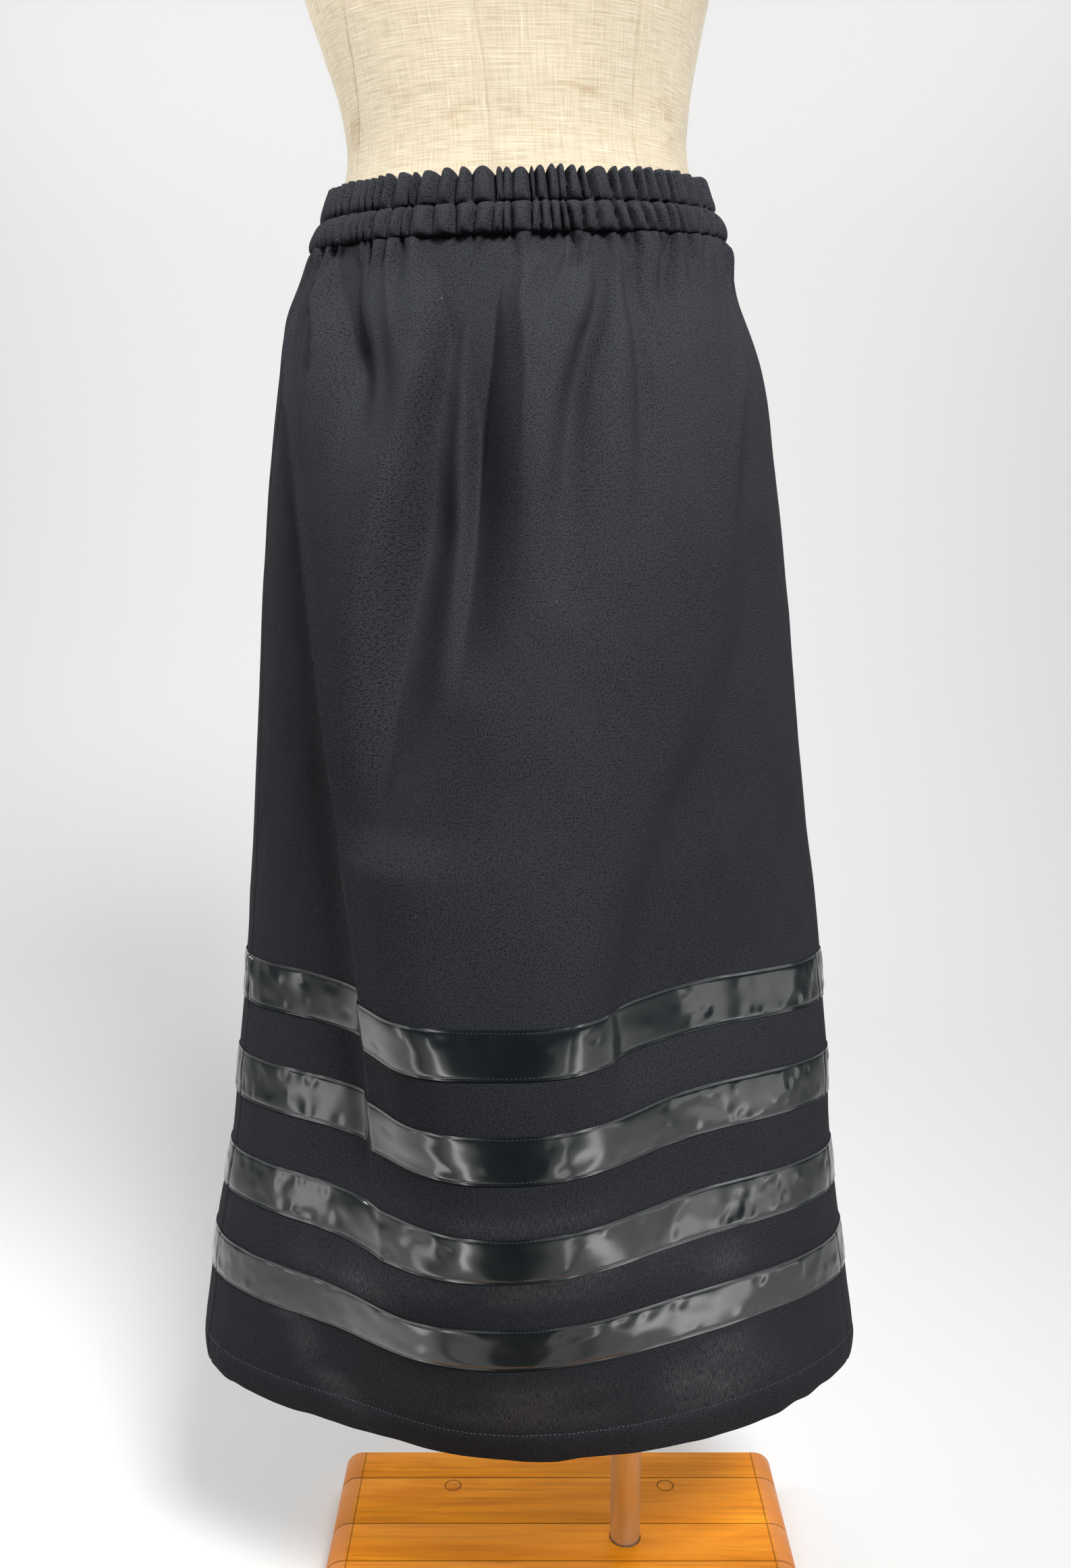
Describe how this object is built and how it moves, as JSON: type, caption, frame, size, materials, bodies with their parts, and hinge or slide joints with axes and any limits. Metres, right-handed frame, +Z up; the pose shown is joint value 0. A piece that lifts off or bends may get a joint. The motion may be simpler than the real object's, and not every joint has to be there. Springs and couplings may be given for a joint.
{
  "type": "ribbon skirt on a limbless dress form with a pole and plank base",
  "caption": "Long black gathered skirt with satin ribbons round the hem, on a linen dress form, a steel pole and a wooden plank base.",
  "frame": {"origin": "centre of the base's underside, where it rests on the floor", "axes": "+Z up, +X to the right seen from the front, +Y to the back; the skirt faces -Y"},
  "size_m": [0.572, 0.426, 1.76],
  "materials": {
    "skirt_cloth": "matte black crepe twill",
    "ribbon_satin": "glossy black satin ribbon",
    "form_linen": "natural slubby linen",
    "pole_steel": "brushed stainless steel",
    "base_wood": "varnished orange pine",
    "plug_wood": "varnished end grain"
  },
  "bodies": {
    "root": {"front_panel": "skirt_cloth", "back_panel": "skirt_cloth", "waistband": "skirt_cloth", "ribbon_1": "ribbon_satin", "ribbon_2": "ribbon_satin", "ribbon_3": "ribbon_satin", "ribbon_4": "ribbon_satin", "dress_form": "form_linen", "pole": "pole_steel", "plank_1": "base_wood", "plank_2": "base_wood", "plank_3": "base_wood", "plank_4": "base_wood", "plank_5": "base_wood", "plank_6": "base_wood", "plank_7": "base_wood", "plug_back_left": "plug_wood", "plug_back_right": "plug_wood", "plug_front_left": "plug_wood", "plug_front_right": "plug_wood"}
  },
  "joints": []
}
